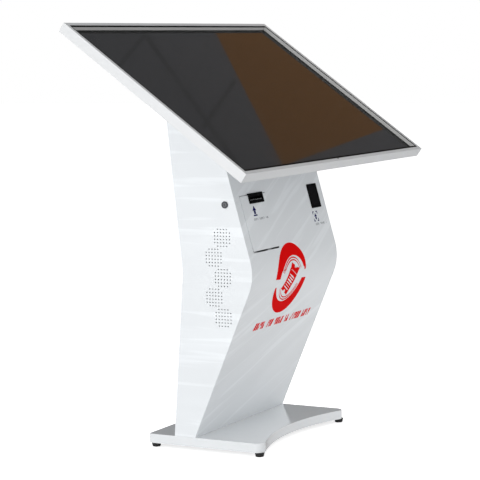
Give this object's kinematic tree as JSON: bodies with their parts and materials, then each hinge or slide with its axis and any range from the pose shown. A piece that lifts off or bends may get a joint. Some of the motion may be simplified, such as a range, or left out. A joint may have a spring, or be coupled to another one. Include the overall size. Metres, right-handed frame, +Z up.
{
  "type": "ticket vending machine",
  "caption": "Free-standing ticket kiosk: large tilted touch display on a slim kinked pedestal with ticket printer door, code scanner window, side lock and perforated sides.",
  "frame": {"origin": "on the floor, under the centre of the overall box", "axes": "+X to the user's right, +Y away from the user, +Z up; the user stands on the -Y side"},
  "size_m": [1.27, 0.6171, 1.3284],
  "materials": {
    "white_coat": "satin white powder coat",
    "base_gloss": "high gloss white lacquer",
    "zinc_steel": "zinc plated sheet steel",
    "rubber": "moulded black rubber",
    "black_plastic": "fine textured black plastic",
    "touch_glass": "toughened clear glass, glossy",
    "dark_window": "glossy dark filter window",
    "display_black": "dark display panel, switched off",
    "bare_aluminium": "satin pressed aluminium",
    "circuit_green": "green circuit laminate",
    "lock_metal": "dark nickel plate",
    "speaker_black": "black pressed basket and paper cone",
    "guard_wire": "bright plated wire",
    "motor_steel": "bright drawn steel",
    "paper": "white thermal paper",
    "core_plastic": "brown wound core"
  },
  "bodies": {
    "cabinet": {"backlight_unit": "bare_aluminium", "ballast_plate": "zinc_steel", "base_pan": "base_gloss", "display_back": "white_coat", "display_board": "circuit_green", "door_magnet": "black_plastic", "end_plates": "zinc_steel", "fan_frame": "black_plastic", "fan_guard": "guard_wire", "feed_motor": "motor_steel", "frame_bolts": "zinc_steel", "frame_posts": "zinc_steel", "front_panel": "white_coat", "hinge_leaf": "zinc_steel", "hinge_pins": "zinc_steel", "inner_shelves": "zinc_steel", "lcd_bezel": "black_plastic", "lcd_cell": "display_black", "lock_body": "lock_metal", "lock_keeper": "zinc_steel", "lock_nut": "lock_metal", "mini_computer": "bare_aluminium", "mount_rails": "zinc_steel", "network_socket": "black_plastic", "panel_clips": "zinc_steel", "paper_cutter": "black_plastic", "power_inlet": "black_plastic", "power_supply": "bare_aluminium", "print_head": "black_plastic", "printer_frame": "zinc_steel", "rear_box": "white_coat", "rear_panel": "white_coat", "receiver_window": "black_plastic", "rim_back": "white_coat", "rim_front": "white_coat", "rim_left": "white_coat", "rim_right": "white_coat", "roll_spindle": "zinc_steel", "rubber_feet": "rubber", "scanner_bezel": "black_plastic", "scanner_camera": "black_plastic", "scanner_housing": "black_plastic", "scanner_window": "dark_window", "side_panel_left": "white_coat", "side_panel_right": "white_coat", "small_screws": "zinc_steel", "speakers": "speaker_black", "touch_frame": "bare_aluminium", "touch_glass": "touch_glass"},
    "printer_door": {"printer_door": "white_coat", "ticket_mouth": "black_plastic"},
    "lock": {"lock_plug": "lock_metal", "lock_cam": "lock_metal"},
    "platen": {"platen_roller": "rubber", "platen_gear": "motor_steel"},
    "paper": {"paper_roll": "paper", "roll_core": "core_plastic"},
    "pinion": {"motor_pinion": "motor_steel"},
    "fan": {"fan_rotor": "black_plastic"},
    "switch": {"power_switch": "black_plastic"}
  },
  "joints": [
    {"name": "printer_door_hinge", "type": "hinge", "parent": "cabinet", "child": "printer_door", "pos_m": [-0.179, -0.12237, 0.63002], "axis": [1, 0, 0], "range_deg": [0, 70]},
    {"name": "side_lock_turn", "type": "hinge", "parent": "cabinet", "child": "lock", "pos_m": [-0.3, -0.0533, 0.7727], "axis": [1, 0, 0], "range_deg": [0, 90]},
    {"name": "platen_spin", "type": "hinge", "parent": "cabinet", "child": "platen", "pos_m": [-0.167, -0.05222, 0.77344], "axis": [1, 0, 0], "continuous": true},
    {"name": "paper_roll_spin", "type": "hinge", "parent": "cabinet", "child": "paper", "pos_m": [-0.167, -0.003, 0.702], "axis": [1, 0, 0], "continuous": true},
    {"name": "pinion_spin", "type": "hinge", "parent": "cabinet", "child": "pinion", "pos_m": [-0.121, -0.0353, 0.76728], "axis": [1, 0, 0], "continuous": true},
    {"name": "fan_spin", "type": "hinge", "parent": "cabinet", "child": "fan", "pos_m": [0, 0.12051, 0.89257], "axis": [0, 0.9949, -0.1011], "continuous": true},
    {"name": "switch_rock", "type": "hinge", "parent": "cabinet", "child": "switch", "pos_m": [-0.017, 0.13147, 0.11976], "axis": [-1, 0, 0], "range_deg": [0, 20]}
  ],
  "couplings": [
    {"joint": "platen_spin", "follows": "paper_roll_spin", "ratio": 6.6667},
    {"joint": "pinion_spin", "follows": "paper_roll_spin", "ratio": -13.333}
  ]
}
